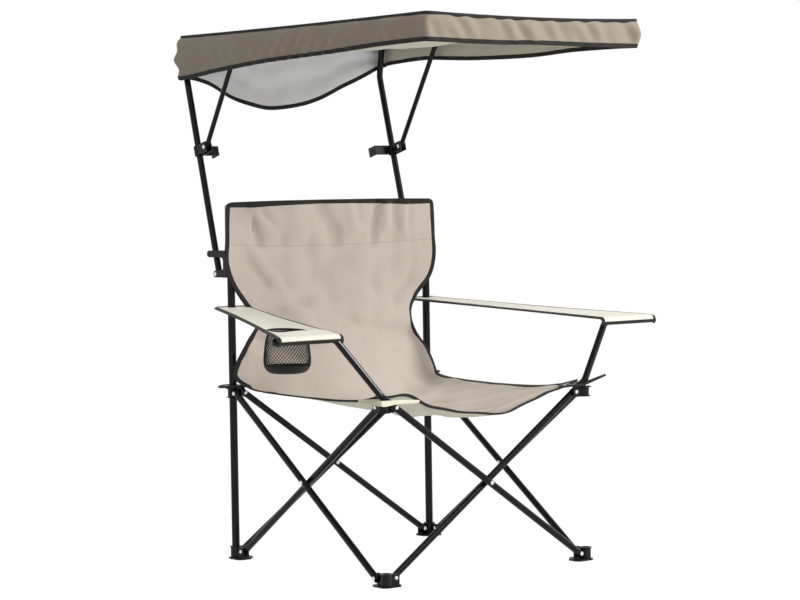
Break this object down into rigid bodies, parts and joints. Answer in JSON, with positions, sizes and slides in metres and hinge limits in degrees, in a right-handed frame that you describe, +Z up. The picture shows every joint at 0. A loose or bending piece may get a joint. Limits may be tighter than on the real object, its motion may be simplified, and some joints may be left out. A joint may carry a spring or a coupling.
{
  "type": "canopy folding chair",
  "caption": "Folding fabric armchair with a square scissor frame, a sling seat and back, cloth armrests with a cup pocket and a sun canopy on two tilting poles",
  "frame": {"origin": "centre of the footprint on the floor, under the middle of the chair's whole box", "axes": "+Z up, the sitter faces -Y, the sitter's right is -X"},
  "size_m": [1.144, 1, 1.27],
  "materials": {
    "gloss_black": "gloss",
    "black_plastic": "satin",
    "zinc": "bright zinc",
    "beige_cloth": "matte woven",
    "cream_cloth": "matte woven",
    "khaki_cloth": "matte woven",
    "black_mesh": "open mesh"
  },
  "bodies": {
    "right_upright": {"rear_right_foot": "black_plastic", "rear_right_foot_cross_rivet": "zinc", "rear_right_foot_side_rivet": "zinc", "right_rear_post": "gloss_black", "right_canopy_bracket": "black_plastic", "right_pole_rivet": "zinc", "sling_back": "beige_cloth"},
    "right_inner_tube": {"right_inner_tube": "gloss_black", "right_crossing_rivet": "zinc"},
    "right_outer_tube": {"right_outer_tube": "gloss_black"},
    "rear_right_hub": {"rear_right_hub": "black_plastic", "rear_right_hub_cross_rivet": "zinc", "rear_right_hub_side_rivet": "zinc"},
    "front_right_foot": {"front_right_foot": "black_plastic", "front_right_foot_cross_rivet": "zinc", "front_right_foot_side_rivet": "zinc"},
    "front_right_hub": {"front_right_hub": "black_plastic", "front_right_hub_cross_rivet": "zinc", "front_right_hub_side_rivet": "zinc"},
    "rear_outer_tube": {"rear_outer_tube": "gloss_black", "rear_crossing_rivet": "zinc"},
    "rear_inner_tube": {"rear_inner_tube": "gloss_black"},
    "rear_left_hub": {"rear_left_hub": "black_plastic", "rear_left_hub_cross_rivet": "zinc", "rear_left_hub_side_rivet": "zinc"},
    "left_upright": {"rear_left_foot": "black_plastic", "rear_left_foot_cross_rivet": "zinc", "rear_left_foot_side_rivet": "zinc", "left_rear_post": "gloss_black", "left_canopy_bracket": "black_plastic", "left_pole_rivet": "zinc"},
    "front_inner_tube": {"front_inner_tube": "gloss_black", "front_crossing_rivet": "zinc"},
    "front_outer_tube": {"front_outer_tube": "gloss_black"},
    "front_left_hub": {"front_left_hub": "black_plastic", "front_left_hub_cross_rivet": "zinc", "front_left_hub_side_rivet": "zinc"},
    "front_left_foot": {"front_left_foot": "black_plastic", "front_left_foot_cross_rivet": "zinc", "front_left_foot_side_rivet": "zinc"},
    "left_outer_tube": {"left_outer_tube": "gloss_black", "left_crossing_rivet": "zinc"},
    "left_inner_tube": {"left_inner_tube": "gloss_black"},
    "seat_rear": {"sling_seat_rear": "beige_cloth"},
    "seat_front": {"sling_seat_front": "beige_cloth"},
    "right_armrest": {"right_armrest": "cream_cloth", "right_cup_pocket": "black_mesh"},
    "left_armrest": {"left_armrest": "cream_cloth"},
    "right_canopy_pole": {"right_canopy_pole": "gloss_black"},
    "left_canopy_pole": {"left_canopy_pole": "gloss_black"},
    "right_collar": {"right_collar": "black_plastic", "right_strut_rivet": "zinc"},
    "left_collar": {"left_collar": "black_plastic", "left_strut_rivet": "zinc"},
    "right_strut": {"right_strut": "gloss_black"},
    "left_strut": {"left_strut": "gloss_black"},
    "right_canopy_rail": {"right_canopy_rail": "gloss_black", "canopy_cover": "khaki_cloth"},
    "left_canopy_rail": {"left_canopy_rail": "gloss_black"}
  },
  "joints": [
    {"name": "frame_fold", "type": "hinge", "parent": "right_upright", "child": "right_inner_tube", "pos_m": [-0.29185, 0.274, 0.019], "axis": [-1, 0, 0], "range_deg": [0, 40], "deforming": ["sling_back", "sling_seat_rear", "sling_seat_front", "right_armrest", "left_armrest", "right_cup_pocket", "canopy_cover"]},
    {"name": "right_crossing_turn", "type": "hinge", "parent": "right_inner_tube", "child": "right_outer_tube", "pos_m": [-0.3, 0, 0.2115], "axis": [1, 0, 0], "range_deg": [0, 80]},
    {"name": "rear_right_hub_turn", "type": "hinge", "parent": "right_outer_tube", "child": "rear_right_hub", "pos_m": [-0.30815, 0.274, 0.404], "axis": [-1, 0, 0], "range_deg": [0, 40]},
    {"name": "front_right_foot_turn", "type": "hinge", "parent": "right_outer_tube", "child": "front_right_foot", "pos_m": [-0.30815, -0.274, 0.019], "axis": [-1, 0, 0], "range_deg": [0, 40]},
    {"name": "front_right_hub_turn", "type": "hinge", "parent": "right_inner_tube", "child": "front_right_hub", "pos_m": [-0.29185, -0.274, 0.404], "axis": [1, 0, 0], "range_deg": [0, 40]},
    {"name": "rear_outer_turn", "type": "hinge", "parent": "right_upright", "child": "rear_outer_tube", "pos_m": [-0.274, 0.30815, 0.019], "axis": [0, -1, 0], "range_deg": [0, 40]},
    {"name": "rear_crossing_turn", "type": "hinge", "parent": "rear_outer_tube", "child": "rear_inner_tube", "pos_m": [0, 0.3, 0.2115], "axis": [0, 1, 0], "range_deg": [0, 80]},
    {"name": "rear_left_hub_turn", "type": "hinge", "parent": "rear_outer_tube", "child": "rear_left_hub", "pos_m": [0.274, 0.30815, 0.404], "axis": [0, 1, 0], "range_deg": [0, 40]},
    {"name": "rear_left_foot_turn", "type": "hinge", "parent": "rear_inner_tube", "child": "left_upright", "pos_m": [0.274, 0.29185, 0.019], "axis": [0, -1, 0], "range_deg": [0, 40]},
    {"name": "front_inner_turn", "type": "hinge", "parent": "front_right_foot", "child": "front_inner_tube", "pos_m": [-0.274, -0.29185, 0.019], "axis": [0, -1, 0], "range_deg": [0, 40]},
    {"name": "front_crossing_turn", "type": "hinge", "parent": "front_inner_tube", "child": "front_outer_tube", "pos_m": [0, -0.3, 0.2115], "axis": [0, 1, 0], "range_deg": [0, 80]},
    {"name": "front_left_hub_turn", "type": "hinge", "parent": "front_inner_tube", "child": "front_left_hub", "pos_m": [0.274, -0.29185, 0.404], "axis": [0, 1, 0], "range_deg": [0, 40]},
    {"name": "front_left_foot_turn", "type": "hinge", "parent": "front_outer_tube", "child": "front_left_foot", "pos_m": [0.274, -0.30815, 0.019], "axis": [0, -1, 0], "range_deg": [0, 40]},
    {"name": "left_outer_turn", "type": "hinge", "parent": "left_upright", "child": "left_outer_tube", "pos_m": [0.30815, 0.274, 0.019], "axis": [-1, 0, 0], "range_deg": [0, 40]},
    {"name": "left_crossing_turn", "type": "hinge", "parent": "left_outer_tube", "child": "left_inner_tube", "pos_m": [0.3, 0, 0.2115], "axis": [1, 0, 0], "range_deg": [0, 80]},
    {"name": "seat_rear_turn", "type": "hinge", "parent": "rear_right_hub", "child": "seat_rear", "pos_m": [-0.3, 0.289, 0.4182], "axis": [1, 0, 0], "range_deg": [0, 70]},
    {"name": "seat_front_turn", "type": "hinge", "parent": "front_right_hub", "child": "seat_front", "pos_m": [-0.3, -0.2825, 0.4182], "axis": [-1, 0, 0], "range_deg": [0, 70]},
    {"name": "right_armrest_turn", "type": "hinge", "parent": "right_upright", "child": "right_armrest", "pos_m": [-0.2659, 0.3514, 0.6464], "axis": [-0.8348, 0.5504, 0.0064], "range_deg": [0, 58.3]},
    {"name": "left_armrest_turn", "type": "hinge", "parent": "left_upright", "child": "left_armrest", "pos_m": [0.2659, 0.3514, 0.6464], "axis": [-0.8348, -0.5504, -0.0064], "range_deg": [0, 58.3]},
    {"name": "canopy_swing", "type": "hinge", "parent": "right_upright", "child": "right_canopy_pole", "pos_m": [-0.3, 0.35, 0.69125], "axis": [-1, 0, 0], "range_deg": [0, 150]},
    {"name": "left_pole_turn", "type": "hinge", "parent": "left_upright", "child": "left_canopy_pole", "pos_m": [0.3, 0.35, 0.69125], "axis": [-1, 0, 0], "range_deg": [0, 150]},
    {"name": "right_collar_slide", "type": "slide", "parent": "right_canopy_pole", "child": "right_collar", "axis": [0, -0.2588, -0.9659], "range_m": [0, 0.2456]},
    {"name": "right_strut_turn", "type": "hinge", "parent": "right_collar", "child": "right_strut", "pos_m": [-0.3, 0.39562, 1.00058], "axis": [-1, 0, 0], "range_deg": [0, 35.22]},
    {"name": "right_rail_turn", "type": "hinge", "parent": "right_canopy_pole", "child": "right_canopy_rail", "pos_m": [-0.3, 0.47, 1.2592], "axis": [1, 0, 0], "range_deg": [0, 60]},
    {"name": "left_collar_slide", "type": "slide", "parent": "left_canopy_pole", "child": "left_collar", "axis": [0, -0.2588, -0.9659], "range_m": [0, 0.2456]},
    {"name": "left_strut_turn", "type": "hinge", "parent": "left_collar", "child": "left_strut", "pos_m": [0.3, 0.39562, 1.00058], "axis": [-1, 0, 0], "range_deg": [0, 35.22]},
    {"name": "left_rail_turn", "type": "hinge", "parent": "left_canopy_pole", "child": "left_canopy_rail", "pos_m": [0.3, 0.47, 1.2592], "axis": [1, 0, 0], "range_deg": [0, 60]}
  ],
  "couplings": [
    {"joint": "right_crossing_turn", "follows": "frame_fold", "ratio": 2},
    {"joint": "rear_right_hub_turn", "follows": "frame_fold", "ratio": 1},
    {"joint": "front_right_foot_turn", "follows": "frame_fold", "ratio": 1},
    {"joint": "front_right_hub_turn", "follows": "frame_fold", "ratio": 1},
    {"joint": "rear_outer_turn", "follows": "frame_fold", "ratio": 1},
    {"joint": "rear_crossing_turn", "follows": "frame_fold", "ratio": 2},
    {"joint": "rear_left_hub_turn", "follows": "frame_fold", "ratio": 1},
    {"joint": "rear_left_foot_turn", "follows": "frame_fold", "ratio": 1},
    {"joint": "front_inner_turn", "follows": "frame_fold", "ratio": 1},
    {"joint": "front_crossing_turn", "follows": "frame_fold", "ratio": 2},
    {"joint": "front_left_hub_turn", "follows": "frame_fold", "ratio": 1},
    {"joint": "front_left_foot_turn", "follows": "frame_fold", "ratio": 1},
    {"joint": "left_outer_turn", "follows": "frame_fold", "ratio": 1},
    {"joint": "left_crossing_turn", "follows": "frame_fold", "ratio": 2},
    {"joint": "seat_rear_turn", "follows": "frame_fold", "ratio": 1.75},
    {"joint": "seat_front_turn", "follows": "frame_fold", "ratio": 1.75},
    {"joint": "right_armrest_turn", "follows": "frame_fold", "ratio": 1.4574},
    {"joint": "left_armrest_turn", "follows": "frame_fold", "ratio": 1.4574},
    {"joint": "left_pole_turn", "follows": "canopy_swing", "ratio": 1},
    {"joint": "right_collar_slide", "follows": "canopy_swing", "m_per_rad": 0.093812},
    {"joint": "right_strut_turn", "follows": "canopy_swing", "ratio": 0.2348},
    {"joint": "right_rail_turn", "follows": "canopy_swing", "ratio": 0.4},
    {"joint": "left_collar_slide", "follows": "canopy_swing", "m_per_rad": 0.093812},
    {"joint": "left_strut_turn", "follows": "canopy_swing", "ratio": 0.2348},
    {"joint": "left_rail_turn", "follows": "canopy_swing", "ratio": 0.4}
  ]
}
